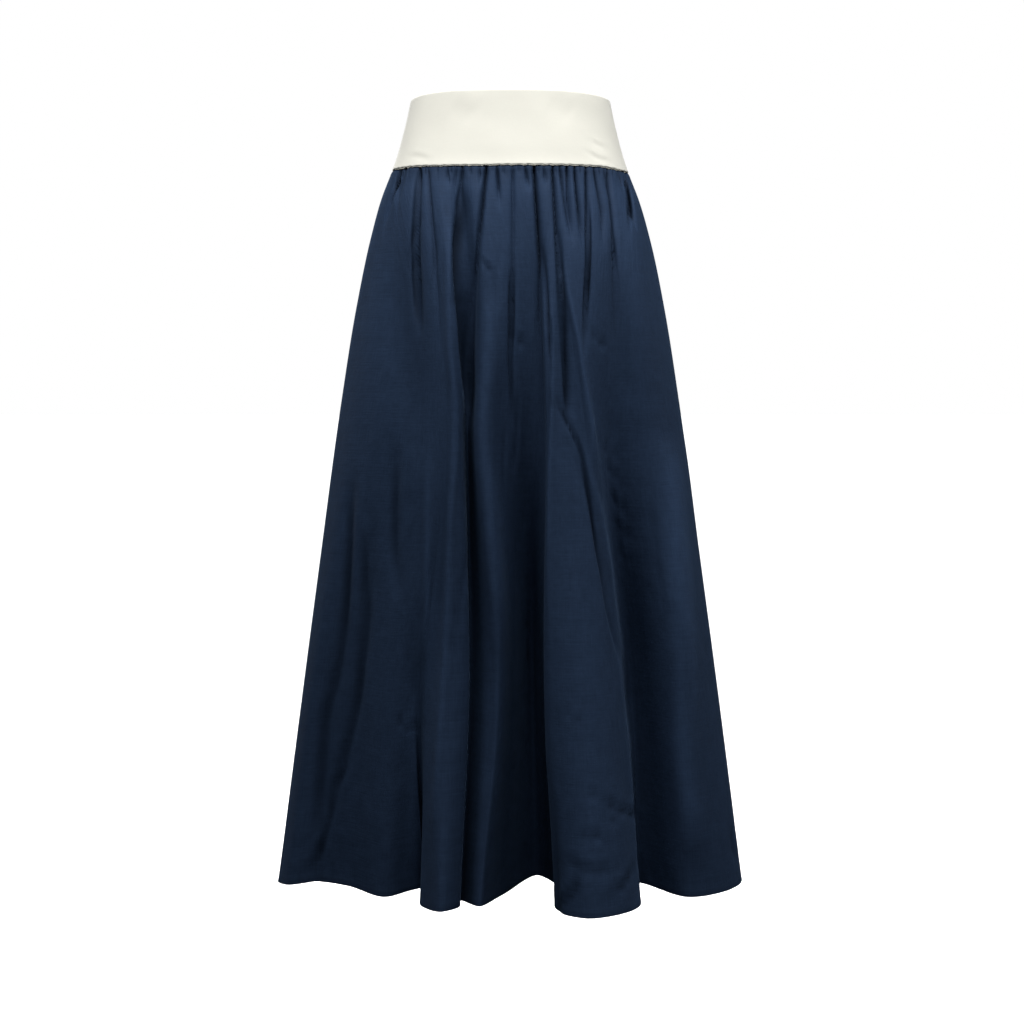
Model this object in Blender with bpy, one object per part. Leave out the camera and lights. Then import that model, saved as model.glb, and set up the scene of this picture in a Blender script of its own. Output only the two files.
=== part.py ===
"""A long gathered skirt on a wide shaped waistband, hollow and open at waist and hem, as when it is worn.

Metres, +Z up, the front towards -Y and the skirt's left-hand picture side towards -X. The origin is the
centre of the waist's opening, at the waistband's top edge. Every horizontal section is one closed line: it
runs across the front from the side seam at -X to the side seam at +X, and back behind. `place` is the place
along that line: 0 and 2 at the seam at -X, 1 at the seam at +X. `drop` is the distance below the seam that
joins skirt and waistband.
"""

from collections import namedtuple

import bpy
import numpy as np

MM = 0.001

# The columns of the tables below
Section = namedtuple("Section", "height half_width front_depth back_depth")
Fold = namedtuple("Fold", "name x out lift")
Gather = namedtuple("Gather", "x_top x_middle x_end length depth half_width")

# Driving sizes, in metres
SEAM_Z = -0.0875  # the seam under the waistband
SEAM_SLOPE = 0.012  # how much that seam falls towards +X, for each metre
HEM_Z = -0.955
BAND_WALL = 2.0 * MM  # the waistband is cut double
SKIRT_WALL = 1.2 * MM
SEAM_GAP = 0.3 * MM
SQUARENESS = 2.2  # exponent of the sections: 2 is an ellipse, more is squarer

# The smooth sections that the folds are laid on, from the waist down, in metres
SECTIONS = (
    (0.000, 0.1200, 0.090, 0.090),
    (-0.037, 0.1274, 0.093, 0.095),
    (-0.0616, 0.1339, 0.096, 0.100),
    (SEAM_Z, 0.1425, 0.100, 0.107),
    (-0.120, 0.1551, 0.112, 0.124),
    (-0.170, 0.1696, 0.122, 0.140),
    (-0.250, 0.1867, 0.129, 0.155),
    (-0.365, 0.2056, 0.133, 0.168),
    (-0.550, 0.2313, 0.128, 0.182),
    (-0.750, 0.2580, 0.120, 0.194),
    (HEM_Z, 0.2844, 0.112, 0.204),
)

# The large folds, from the seam at -X round to it again. Each row is one line down the cloth: where it lies
# across the skirt (x) and how far it stands out of the smooth section (out) at the four FOLD_HEIGHTS, and how
# far the hem is lifted there. Millimetres. At the seam the cloth is gathered evenly, so the rows start from
# their own share of the cloth.
FOLD_HEIGHTS = (-0.20, -0.42, -0.66, HEM_Z)
LEFT_SEAM_LIFT = 1
RIGHT_SEAM_LIFT = 2
FRONT_FOLDS = (
    ("left flute", (-163, -201, -234, -270), (-4, -6, -9, -20), 3),
    ("left hollow", (-139, -170, -209, -236), (-3, -8, -22, -46), 7),
    ("left slope", (-123, -142, -177, -198), (0, -7, -24, -42), 5),
    ("left ridge", (-105, -106, -135, -148), (3, -2, -14, -21), 1),
    ("left fold's hollow", (-92, -88, -106, -105), (5, -1, -13, -60), 3),
    ("left fold's outer edge", (-83, -77, -97, -100), (6, 1, -9, 16), -2),
    ("left fold's crown", (-73, -67, -76, -80), (7, 4, 6, 43), 0),
    ("left fold's inner edge", (-65, -59, -51, -62), (3, -3, -8, 22), 0),
    ("crease", (-51, -51, -48, -59), (-12, -31, -46, -26), -2),
    ("small fold's crown", (-35, -31, -14, -36), (5, -2, -11, 13), 0),
    ("small fold's slope", (-4, -7, 4, -9), (1, -19, -50, -45), 1),
    ("centre hollow", (21, 28, 27, 34), (-4, -33, -92, -108), 11),
    ("centre hollow's end", (31, 38, 41, 52), (-3, -27, -61, -61), 8),
    ("great fold's inner edge", (42, 44, 47, 54), (5, 6, 20, 38), -1),
    ("great fold's crown", (66, 79, 81, 92), (11, 9, 33, 78), 0),
    ("great fold's shoulder", (83, 95, 113, 137), (12, 10, 24, 56), 1),
    ("great fold's outer edge", (94, 101, 125, 148), (13, 2, 4, 26), 0),
    ("right hollow", (120, 114, 141, 156), (14, -14, -58, -77), 6),
    ("right ridge", (150, 169, 194, 213), (18, 4, 0, -5), 0),
    ("right flank", (165, 199, 232, 265), (9, -2, -10, -10), 0),
)
BACK_FOLDS = (
    ("right flute", (165, 200, 234, 270), (-1, -3, -6, -10), 1),
    ("right hollow", (146, 172, 205, 238), (-3, -9, -22, -40), 5),
    ("right fold", (128, 150, 180, 205), (3, 5, 7, 12), 0),
    ("second hollow", (103, 117, 137, 148), (-3, -14, -34, -56), 6),
    ("second fold", (84, 96, 112, 120), (5, 8, 16, 28), 0),
    ("third hollow", (58, 64, 73, 76), (-3, -10, -26, -44), 4),
    ("third fold", (27, 29, 33, 38), (4, 6, 11, 18), 0),
    ("fourth hollow", (-6, -8, -9, -6), (-3, -15, -35, -60), 6),
    ("fourth fold", (-36, -43, -52, -56), (5, 9, 18, 33), 0),
    ("fifth hollow", (-64, -77, -92, -102), (-3, -11, -27, -45), 4),
    ("fifth fold", (-98, -114, -136, -154), (4, 6, 8, 13), 0),
    ("left hollow", (-130, -152, -181, -207), (-3, -10, -25, -44), 5),
    ("left fold", (-150, -177, -208, -239), (3, 3, 3, 5), 0),
    ("left flute", (-163, -198, -232, -267), (-1, -3, -6, -10), 1),
)

# The gathers: valleys that run down from the seam. Each row has its place across the skirt at the seam, half
# way down and at its lower end, its length, its depth and half its width. Millimetres.
FRONT_GATHERS = (
    (-131, -143, -153, 80, 4.0, 5.5),
    (-108, -113, -106, 230, 5.0, 7.0),
    (-98, -88, -79, 235, 2.2, 5.0),
    (-75, -74, -70, 30, 2.0, 4.0),
    (-63, -66, -64, 45, 1.8, 3.5),
    (-56, -62, -62, 150, 4.2, 5.0),
    (-37, -36, -35, 30, 2.0, 3.5),
    (-28, -43, -51, 300, 4.6, 4.5),
    (-16, -14, -12, 58, 3.0, 3.5),
    (3, 3, 0, 300, 4.4, 4.5),
    (17, 20, 24, 36, 2.6, 3.5),
    (28, 36, 36, 235, 5.2, 4.5),
    (39, 41, 43, 30, 2.2, 3.5),
    (50, 58, 63, 285, 6.0, 4.5),
    (58, 66, 74, 100, 3.2, 4.5),
    (67, 69, 73, 100, 3.4, 4.0),
    (76, 81, 87, 115, 4.0, 4.0),
    (90, 91, 88, 235, 3.8, 4.5),
    (99, 108, 109, 105, 3.4, 4.5),
    (111, 115, 118, 42, 2.2, 4.0),
    (116, 125, 127, 235, 3.6, 5.0),
    (128, 133, 136, 32, 2.2, 4.0),
    (138, 144, 150, 80, 5.0, 4.5),
)
BACK_GATHERS = (
    (137, 147, 156, 84, 3.2, 5.5),
    (124, 136, 146, 180, 3.6, 5.0),
    (111, 116, 120, 46, 2.4, 4.0),
    (101, 107, 116, 240, 4.0, 5.0),
    (88, 93, 96, 70, 2.8, 4.0),
    (76, 84, 84, 150, 3.2, 4.5),
    (66, 68, 70, 34, 2.2, 3.5),
    (55, 60, 63, 260, 4.6, 5.0),
    (42, 43, 46, 90, 3.0, 4.0),
    (30, 34, 32, 200, 3.8, 4.5),
    (19, 20, 21, 38, 2.4, 3.5),
    (8, 6, 2, 225, 3.8, 5.0),
    (-6, -9, -8, 110, 3.2, 4.5),
    (-17, -18, -19, 40, 2.2, 3.5),
    (-28, -33, -39, 270, 4.4, 5.0),
    (-41, -45, -46, 75, 2.8, 4.0),
    (-53, -59, -66, 210, 3.8, 4.5),
    (-67, -69, -70, 36, 2.4, 4.0),
    (-78, -86, -90, 160, 3.4, 4.5),
    (-91, -95, -98, 60, 2.6, 4.0),
    (-102, -112, -124, 245, 4.2, 5.0),
    (-115, -122, -127, 95, 2.8, 4.5),
    (-127, -138, -148, 190, 3.6, 5.0),
    (-138, -146, -155, 70, 3.0, 5.5),
)
GATHER_RISE = 18 * MM  # a gather reaches its full depth this far below the seam
GATHER_AT_SEAM = 0.35  # share of its depth that it has at the seam
GATHER_FADE = 0.25  # share of its length after which it begins to fade
GATHER_SHARPNESS = 1.5  # exponent of its section: 2 is a soft bell, 1 a knife crease

# The mesh: columns of faces across a panel's gathers, half as many below them, and the strips down it
FRONT_COLUMNS = 160
BACK_COLUMNS = 120
BAND_COLUMNS = 40
BAND_STRIPS = 4
UPPER_DROPS = (0.0, 0.012, 0.030, 0.062, 0.110, 0.180, 0.275)
LOWER_STRIPS = 13
SLOPE_STEP = 1e-4  # step of the finite differences that give a surface's normal

IVORY = (0.90, 0.885, 0.80, 1.0)
NAVY = (0.016, 0.024, 0.052, 1.0)


def curve_through(stations, values, at):
    """A smooth curve through the values at the stations, each slope taken from its two neighbours."""
    stations = np.asarray(stations, float)
    values = np.asarray(values, float)
    gaps = np.diff(stations)[:, None]
    rises = np.diff(values, axis=0) / gaps
    inner = (gaps[1:] * rises[:-1] + gaps[:-1] * rises[1:]) / (gaps[1:] + gaps[:-1])
    slopes = np.vstack([rises[:1], inner, rises[-1:]])
    low = np.clip(np.searchsorted(stations, at, side="right") - 1, 0, len(stations) - 2)
    gap = gaps[low]
    s = (np.asarray(at, float)[:, None] - stations[low][:, None]) / gap
    return (
        values[low] * (1 + 2 * s) * (1 - s) ** 2
        + slopes[low] * gap * s * (1 - s) ** 2
        + values[low + 1] * s**2 * (3 - 2 * s)
        + slopes[low + 1] * gap * s**2 * (s - 1)
    )


def section_sizes(height):
    """Half width, front depth and back depth of the smooth section at a height."""
    rows = [Section(*row) for row in reversed(SECTIONS)]
    heights = [row.height for row in rows]
    sizes = [(row.half_width, row.front_depth, row.back_depth) for row in rows]
    return curve_through(heights, sizes, [height])[0]


def smooth_depth(share, depth):
    """Depth of the smooth section where x is this share of its half width."""
    inside = np.clip(1.0 - np.abs(share) ** SQUARENESS, 0.0, 1.0)
    return depth * inside ** (1.0 / SQUARENESS)


def even_shares(cloth_shares, half_width, depth):
    """x, as a share of the half width, of points that divide the line from -X to +X in these shares."""
    angle = np.linspace(np.pi, 0.0, 721)
    share = np.cos(angle)
    steps = np.hypot(np.diff(share * half_width), np.diff(smooth_depth(share, depth)))
    length = np.concatenate([[0.0], np.cumsum(steps)])
    return np.interp(np.asarray(cloth_shares) * length[-1], length, share)


def fold_side(folds, direction):
    """Shares of x, outs in metres at each fold height, and lifts, of one side with its two seams."""
    widths = np.array([section_sizes(height)[0] for height in FOLD_HEIGHTS])
    no_out = (0,) * len(FOLD_HEIGHTS)
    left_seam = ("seam at -X", tuple(-widths / MM), no_out, LEFT_SEAM_LIFT)
    right_seam = ("seam at +X", tuple(widths / MM), no_out, RIGHT_SEAM_LIFT)
    start, end = (left_seam, right_seam)[::direction]
    rows = [Fold(*row) for row in (start, *folds, end)]
    shares = np.array([row.x for row in rows]) * MM / widths
    outs = np.array([row.out for row in rows]) * MM
    lifts = np.array([row.lift for row in rows]) * MM
    return shares, outs, lifts


def cloth_places(shares, outs, depth_column):
    """How far along the hem each fold line lies, from 0 to 1, moved to the nearest column of faces there."""
    sizes = section_sizes(HEM_Z)
    x = shares[:, -1] * sizes[0]
    depth = smooth_depth(shares[:, -1], sizes[depth_column]) + outs[:, -1]
    length = np.concatenate([[0.0], np.cumsum(np.hypot(np.diff(x), np.diff(depth)))])
    columns = (FRONT_COLUMNS if depth_column == 1 else BACK_COLUMNS) // 2
    return np.round(length / length[-1] * columns) / columns


def fold_lines():
    """Places, shares by height, outs by height and lifts of all fold lines, from seam round to seam."""
    front = fold_side(FRONT_FOLDS, 1)
    back = fold_side(BACK_FOLDS, -1)
    front_places = cloth_places(front[0], front[1], 1)
    back_places = cloth_places(back[0], back[1], 2)
    top = section_sizes(SEAM_Z)
    front_top = even_shares(front_places, top[0], top[1])
    back_top = -even_shares(back_places, top[0], top[2])
    places = np.concatenate([front_places[:-1], 1.0 + back_places])
    shares = np.vstack([front[0][:-1], back[0]])
    outs = np.vstack([front[1][:-1], back[1]])
    lifts = np.concatenate([front[2][:-1], back[2]])
    top_shares = np.concatenate([front_top[:-1], back_top])
    shares = np.column_stack([top_shares, shares])
    outs = np.column_stack([np.zeros(len(outs)), outs])
    return places, shares, outs, lifts


PLACES, SHARES, OUTS, LIFTS = fold_lines()
LINE_HEIGHTS = (SEAM_Z, *FOLD_HEIGHTS)


def round_the_section(keys, at):
    """A smooth closed curve through the key points, one for each fold line, at these places along it."""
    steps = np.hypot(*np.diff(keys[:, :2], axis=0).T)
    length = np.concatenate([[0.0], np.cumsum(steps)])
    around = np.concatenate([length[-4:-1] - length[-1], length, length[1:4] + length[-1]])
    closed = np.vstack([keys[-4:-1], keys, keys[1:4]])
    return curve_through(around, closed, np.interp(at, PLACES, length))


def ease(value):
    """0 up to 1, level at both ends."""
    value = np.clip(value, 0.0, 1.0)
    return value * value * (3.0 - 2.0 * value)


def gather_pull(gathers, share, half_width, drop):
    """How far the gathers draw the cloth in, where x is this share of the half width."""
    angle = np.arccos(np.clip(share, -1.0, 1.0))
    pull = np.zeros_like(angle)
    rise = GATHER_AT_SEAM + (1.0 - GATHER_AT_SEAM) * ease(drop / GATHER_RISE)
    for row in gathers:
        gather = Gather(*row)
        run = drop / (gather.length * MM)
        if run >= 1.0:
            continue
        x = np.interp(run, (0.0, 0.5, 1.0), (gather.x_top, gather.x_middle, gather.x_end)) * MM
        centre = np.arccos(np.clip(x / half_width, -1.0, 1.0))
        away = (angle - centre) * half_width / (gather.half_width * MM)
        fade = 1.0 - ease((run - GATHER_FADE) / (1.0 - GATHER_FADE))
        pull += gather.depth * MM * rise * fade * np.exp(-np.abs(away) ** GATHER_SHARPNESS)
    return pull


def skirt_line(place, down):
    """The skirt's outer surface at these places along a section, a share `down` of the way to the hem."""
    height = SEAM_Z + (HEM_Z - SEAM_Z) * down
    half_width, front_depth, back_depth = section_sizes(height)
    heights = LINE_HEIGHTS[::-1]
    shares = curve_through(heights, SHARES.T[::-1], [height])[0]
    outs = curve_through(heights, OUTS.T[::-1], [height])[0]
    front = PLACES <= 1.0
    depth = np.where(front, front_depth, back_depth)
    side = np.where(front, -1.0, 1.0)
    keys = np.column_stack([shares * half_width, side * (smooth_depth(shares, depth) + outs), LIFTS])
    x, y, lift = round_the_section(keys, place).T

    share = np.clip(x / half_width, -1.0, 1.0)
    drop = SEAM_Z - height
    in_front = place <= 1.0
    pull = np.where(
        in_front,
        gather_pull(FRONT_GATHERS, share, half_width, drop),
        gather_pull(BACK_GATHERS, share, half_width, drop),
    )
    out_x = share / half_width
    out_y = np.sqrt(1.0 - share**2) / np.where(in_front, -front_depth, back_depth)
    out_size = np.hypot(out_x, out_y)
    x = x - pull * out_x / out_size
    y = y - pull * out_y / out_size
    seam_z = SEAM_Z - SEAM_GAP / 2 - SEAM_SLOPE * x
    z = seam_z + (HEM_Z - seam_z) * down + lift * down**3
    return np.column_stack([x, y, z])


def band_line(place, down):
    """The waistband's outer surface, from its top edge (down = 0) to the seam (down = 1)."""
    half_width, front_depth, back_depth = section_sizes(SEAM_Z * down)
    in_front = place <= 1.0
    front_share = even_shares(np.clip(place, 0.0, 1.0), half_width, front_depth)
    back_share = -even_shares(np.clip(place - 1.0, 0.0, 1.0), half_width, back_depth)
    share = np.where(in_front, front_share, back_share)
    x = share * half_width
    y = np.where(in_front, -smooth_depth(share, front_depth), smooth_depth(share, back_depth))
    z = (SEAM_Z + SEAM_GAP / 2 - SEAM_SLOPE * x) * down
    return np.column_stack([x, y, z])


def wall_lines(line, place, down, wall):
    """Outer and inner points of a wall at one height, square to the outer surface."""
    outer = line(place, down)
    across = line(place + SLOPE_STEP, down) - line(place - SLOPE_STEP, down)
    lower = line(place, min(down + SLOPE_STEP, 1.0))
    upper = line(place, max(down - SLOPE_STEP, 0.0))
    inward = np.cross(across, lower - upper)
    inward /= np.linalg.norm(inward, axis=1)[:, None]
    if np.dot(inward[0], outer[0]) > 0:
        inward = -inward
    return outer, outer + inward * wall


def trim_edges(outer, inner, is_rim, front):
    """Ends a panel half a gap short of both side seams, and levels its top and bottom rims."""
    edge_y = -SEAM_GAP / 2 if front else SEAM_GAP / 2
    for column in (0, -1):
        outer[column, 1] = edge_y
        inner[column, 1] = edge_y
    if is_rim:
        inner[:, 2] = outer[:, 2]


def strip_faces(upper, lower):
    """Faces between two rows of points, where the lower row has as many columns or half as many."""
    faces = []
    if len(upper) == len(lower):
        for i in range(len(upper) - 1):
            faces.append((upper[i], lower[i], lower[i + 1], upper[i + 1]))
        return faces
    for i in range(len(lower) - 1):
        left, middle, right = upper[2 * i : 2 * i + 3]
        faces.append((left, lower[i], middle))
        faces.append((middle, lower[i], lower[i + 1]))
        faces.append((middle, lower[i + 1], right))
    return faces


def build_panel(name, line, front, rows, wall, material):
    """One closed wall. `rows` holds (share of the way down, columns across), from its top edge down."""
    start = 0.0 if front else 1.0
    points = []
    outer_rows = []
    inner_rows = []
    for number, (down, columns) in enumerate(rows):
        place = np.linspace(start, start + 1.0, columns + 1)
        outer, inner = wall_lines(line, place, down, wall)
        trim_edges(outer, inner, number in (0, len(rows) - 1), front)
        for part, kept in ((outer, outer_rows), (inner, inner_rows)):
            kept.append(list(range(len(points), len(points) + len(part))))
            points.extend(part)

    faces = []
    for number in range(len(rows) - 1):
        faces += strip_faces(outer_rows[number], outer_rows[number + 1])
        faces += [face[::-1] for face in strip_faces(inner_rows[number], inner_rows[number + 1])]
    faces += strip_faces(inner_rows[0], outer_rows[0])
    faces += strip_faces(outer_rows[-1], inner_rows[-1])
    first_column = ([row[0] for row in outer_rows], [row[0] for row in inner_rows])
    last_column = ([row[-1] for row in inner_rows], [row[-1] for row in outer_rows])
    faces += strip_faces(*first_column)
    faces += strip_faces(*last_column)

    mesh = bpy.data.meshes.new(name)
    mesh.from_pydata([tuple(point) for point in points], [], faces)
    mesh.validate()
    mesh.shade_smooth()
    mesh.set_sharp_from_angle(angle=np.radians(50))
    mesh.materials.append(material)
    panel = bpy.data.objects.new(name, mesh)
    bpy.context.scene.collection.objects.link(panel)
    return panel


def make_material(name, color, roughness):
    """A plain cloth colour."""
    material = bpy.data.materials.new(name)
    material.use_nodes = True
    shader = material.node_tree.nodes["Principled BSDF"]
    shader.inputs["Base Color"].default_value = color
    shader.inputs["Roughness"].default_value = roughness
    shader.inputs["Metallic"].default_value = 0.0
    return material


def skirt_rows(columns):
    """Fine columns through the gathers, half as many below them."""
    length = SEAM_Z - HEM_Z
    rows = [(drop / length, columns) for drop in UPPER_DROPS]
    join = UPPER_DROPS[-1] / length
    for strip in range(1, LOWER_STRIPS + 1):
        rows.append((join + (1.0 - join) * strip / LOWER_STRIPS, columns // 2))
    return rows


def clear_scene():
    """Removes the startup scene's objects."""
    for thing in list(bpy.data.objects):
        bpy.data.objects.remove(thing, do_unlink=True)


def build_skirt():
    """The four pieces that are cut and sewn."""
    ivory = make_material("ivory_band_cloth", IVORY, 0.8)
    navy = make_material("navy_skirt_cloth", NAVY, 0.6)
    band_rows = [(strip / BAND_STRIPS, BAND_COLUMNS) for strip in range(BAND_STRIPS + 1)]
    build_panel("waistband_front", band_line, True, band_rows, BAND_WALL, ivory)
    build_panel("waistband_back", band_line, False, band_rows, BAND_WALL, ivory)
    build_panel("skirt_front", skirt_line, True, skirt_rows(FRONT_COLUMNS), SKIRT_WALL, navy)
    build_panel("skirt_back", skirt_line, False, skirt_rows(BACK_COLUMNS), SKIRT_WALL, navy)


clear_scene()
build_skirt()
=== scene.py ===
from collections import namedtuple

import bpy
import numpy as np
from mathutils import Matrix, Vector


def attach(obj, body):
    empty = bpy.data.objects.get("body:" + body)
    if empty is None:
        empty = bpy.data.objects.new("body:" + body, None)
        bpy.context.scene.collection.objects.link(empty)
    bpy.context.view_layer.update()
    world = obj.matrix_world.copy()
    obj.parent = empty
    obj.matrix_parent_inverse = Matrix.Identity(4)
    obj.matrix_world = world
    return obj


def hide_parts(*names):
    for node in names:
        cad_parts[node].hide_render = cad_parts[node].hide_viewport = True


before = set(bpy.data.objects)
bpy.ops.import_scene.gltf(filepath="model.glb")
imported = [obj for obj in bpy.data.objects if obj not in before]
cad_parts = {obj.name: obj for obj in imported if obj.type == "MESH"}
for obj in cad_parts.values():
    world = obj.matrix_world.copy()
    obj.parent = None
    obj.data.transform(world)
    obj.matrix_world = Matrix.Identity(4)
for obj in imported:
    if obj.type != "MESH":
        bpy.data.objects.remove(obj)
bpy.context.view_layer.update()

# The looks of a long gathered navy skirt on a wide ivory waistband, hollow as when it is worn. The cloth
# follows the same sections, folds and gathers as the imported solids, in a finer mesh, with tucks, small creases,
# puckers, sewing and cloth finishes; the skirt's colour also holds painted shade in its creases, hollows and
# under the waistband, and painted highlights on some fold ridges. Three of the front's gathers are shallower
# here, and two of its fold lines lift the hem a few millimetres more. Metres, +Z up, the front towards -Y, the
# origin at the waist's opening.

MM = 0.001

Section = namedtuple("Section", "height half_width front_depth back_depth")
Fold = namedtuple("Fold", "name x out lift")
Gather = namedtuple("Gather", "x_top x_middle x_end length depth half_width")
Crease = namedtuple("Crease", "name x_start z_start x_end z_end bow half_width depth")
Tuck = namedtuple("Tuck", "name left right points")

# ---- the garment's sizes, as in the solids ----
SEAM_Z = -0.0875
SEAM_SLOPE = 0.012
HEM_Z = -0.955
BAND_WALL = 2.0 * MM
SKIRT_WALL = 1.2 * MM
SEAM_GAP = 0.3 * MM
SQUARENESS = 2.2
SKIRT_LENGTH = SEAM_Z - HEM_Z
PANEL_WIDTH = 1.2  # flat width of a skirt panel at its hem
BAND_WIDTH = 0.40

# ---- colours, linear ----
NAVY = (0.0245, 0.044, 0.088)
IVORY = (0.92, 0.905, 0.81)

# Each section of the smooth form: height, half width, and depth in front and behind. Metres.
SECTIONS = (
    (0.000, 0.1200, 0.090, 0.090),
    (-0.037, 0.1274, 0.093, 0.095),
    (-0.0616, 0.1339, 0.096, 0.100),
    (SEAM_Z, 0.1425, 0.100, 0.107),
    (-0.120, 0.1551, 0.112, 0.124),
    (-0.170, 0.1696, 0.122, 0.140),
    (-0.250, 0.1867, 0.129, 0.155),
    (-0.365, 0.2056, 0.133, 0.168),
    (-0.550, 0.2313, 0.128, 0.182),
    (-0.750, 0.2580, 0.120, 0.194),
    (HEM_Z, 0.2844, 0.112, 0.204),
)

# Fold lines: x and how far out of the smooth form, at each of these heights, and how far they lift the hem.
# Millimetres, as all the tables below.
FOLD_HEIGHTS = (-0.20, -0.42, -0.66, HEM_Z)
LEFT_SEAM_LIFT = 1
RIGHT_SEAM_LIFT = 2
FRONT_FOLDS = (
    ("left flute", (-163, -201, -234, -270), (-4, -6, -9, -20), 3),
    ("left hollow", (-139, -170, -209, -236), (-3, -8, -22, -46), 7),
    ("left slope", (-123, -142, -177, -198), (0, -7, -24, -42), 7),
    ("left ridge", (-105, -106, -135, -148), (3, -2, -14, -21), 1),
    ("left fold's hollow", (-92, -88, -106, -105), (5, -1, -13, -60), 9),
    ("left fold's outer edge", (-83, -77, -97, -100), (6, 1, -9, 16), -2),
    ("left fold's crown", (-73, -67, -76, -80), (7, 4, 6, 43), 0),
    ("left fold's inner edge", (-65, -59, -51, -62), (3, -3, -8, 22), 0),
    ("crease", (-51, -51, -48, -59), (-12, -31, -46, -26), -2),
    ("small fold's crown", (-35, -31, -14, -36), (5, -2, -11, 13), 0),
    ("small fold's slope", (-4, -7, 4, -9), (1, -19, -50, -45), 1),
    ("centre hollow", (21, 28, 27, 34), (-4, -33, -92, -108), 11),
    ("centre hollow's end", (31, 38, 41, 52), (-3, -27, -61, -61), 8),
    ("great fold's inner edge", (42, 44, 47, 54), (5, 6, 20, 38), -1),
    ("great fold's crown", (66, 79, 81, 92), (11, 9, 33, 78), 0),
    ("great fold's shoulder", (83, 95, 113, 137), (12, 10, 24, 56), 1),
    ("great fold's outer edge", (94, 101, 125, 148), (13, 2, 4, 26), 0),
    ("right hollow", (120, 114, 141, 156), (14, -14, -58, -77), 6),
    ("right ridge", (150, 169, 194, 213), (18, 4, 0, -5), 0),
    ("right flank", (165, 199, 232, 265), (9, -2, -10, -10), 0),
)
BACK_FOLDS = (
    ("right flute", (165, 200, 234, 270), (-1, -3, -6, -10), 1),
    ("right hollow", (146, 172, 205, 238), (-3, -9, -22, -40), 5),
    ("right fold", (128, 150, 180, 205), (3, 5, 7, 12), 0),
    ("second hollow", (103, 117, 137, 148), (-3, -14, -34, -56), 6),
    ("second fold", (84, 96, 112, 120), (5, 8, 16, 28), 0),
    ("third hollow", (58, 64, 73, 76), (-3, -10, -26, -44), 4),
    ("third fold", (27, 29, 33, 38), (4, 6, 11, 18), 0),
    ("fourth hollow", (-6, -8, -9, -6), (-3, -15, -35, -60), 6),
    ("fourth fold", (-36, -43, -52, -56), (5, 9, 18, 33), 0),
    ("fifth hollow", (-64, -77, -92, -102), (-3, -11, -27, -45), 4),
    ("fifth fold", (-98, -114, -136, -154), (4, 6, 8, 13), 0),
    ("left hollow", (-130, -152, -181, -207), (-3, -10, -25, -44), 5),
    ("left fold", (-150, -177, -208, -239), (3, 3, 3, 5), 0),
    ("left flute", (-163, -198, -232, -267), (-1, -3, -6, -10), 1),
)

# Gathers: x at the seam, half-way down and at the end, then length, depth and half width.
FRONT_GATHERS = (
    (-131, -143, -153, 80, 4.0, 5.5),
    (-108, -113, -106, 230, 5.0, 7.0),
    (-98, -88, -79, 235, 2.2, 5.0),
    (-75, -74, -70, 30, 2.0, 4.0),
    (-63, -66, -64, 45, 1.8, 3.5),
    (-56, -60, -61, 70, 3.0, 5.0),
    (-37, -36, -35, 30, 2.0, 3.5),
    (-28, -43, -51, 300, 4.6, 4.5),
    (-16, -14, -12, 58, 3.0, 3.5),
    (3, 3, 0, 300, 2.2, 4.5),
    (17, 20, 24, 36, 2.6, 3.5),
    (28, 36, 36, 235, 5.2, 4.5),
    (39, 41, 43, 30, 2.2, 3.5),
    (50, 57, 62, 250, 4.2, 4.5),
    (58, 66, 74, 100, 3.2, 4.5),
    (67, 69, 73, 100, 3.4, 4.0),
    (76, 81, 87, 115, 4.0, 4.0),
    (90, 91, 88, 235, 3.8, 4.5),
    (99, 108, 109, 105, 3.4, 4.5),
    (111, 115, 118, 42, 2.2, 4.0),
    (116, 125, 127, 235, 3.6, 5.0),
    (128, 133, 136, 32, 2.2, 4.0),
    (138, 144, 150, 80, 5.0, 4.5),
)
BACK_GATHERS = (
    (137, 147, 156, 84, 3.2, 5.5),
    (124, 136, 146, 180, 3.6, 5.0),
    (111, 116, 120, 46, 2.4, 4.0),
    (101, 107, 116, 240, 4.0, 5.0),
    (88, 93, 96, 70, 2.8, 4.0),
    (76, 84, 84, 150, 3.2, 4.5),
    (66, 68, 70, 34, 2.2, 3.5),
    (55, 60, 63, 260, 4.6, 5.0),
    (42, 43, 46, 90, 3.0, 4.0),
    (30, 34, 32, 200, 3.8, 4.5),
    (19, 20, 21, 38, 2.4, 3.5),
    (8, 6, 2, 225, 3.8, 5.0),
    (-6, -9, -8, 110, 3.2, 4.5),
    (-17, -18, -19, 40, 2.2, 3.5),
    (-28, -33, -39, 270, 4.4, 5.0),
    (-41, -45, -46, 75, 2.8, 4.0),
    (-53, -59, -66, 210, 3.8, 4.5),
    (-67, -69, -70, 36, 2.4, 4.0),
    (-78, -86, -90, 160, 3.4, 4.5),
    (-91, -95, -98, 60, 2.6, 4.0),
    (-102, -112, -124, 245, 4.2, 5.0),
    (-115, -122, -127, 95, 2.8, 4.5),
    (-127, -138, -148, 190, 3.6, 5.0),
    (-138, -146, -155, 70, 3.0, 5.5),
)
GATHER_RISE = 12 * MM
GATHER_AT_SEAM = 0.45
GATHER_FADE = 0.4
GATHER_SHARPNESS = 1.25  # 2 is a soft bell, 1 a knife crease
GATHER_NARROWNESS = 0.52  # share of the solids' width, which the finer mesh can show
GATHER_WIDENING = 1.0  # how much wider they are where they end
GATHER_DEEPENING = 2.1  # they fold deeper than the solids' coarser mesh can

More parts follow.
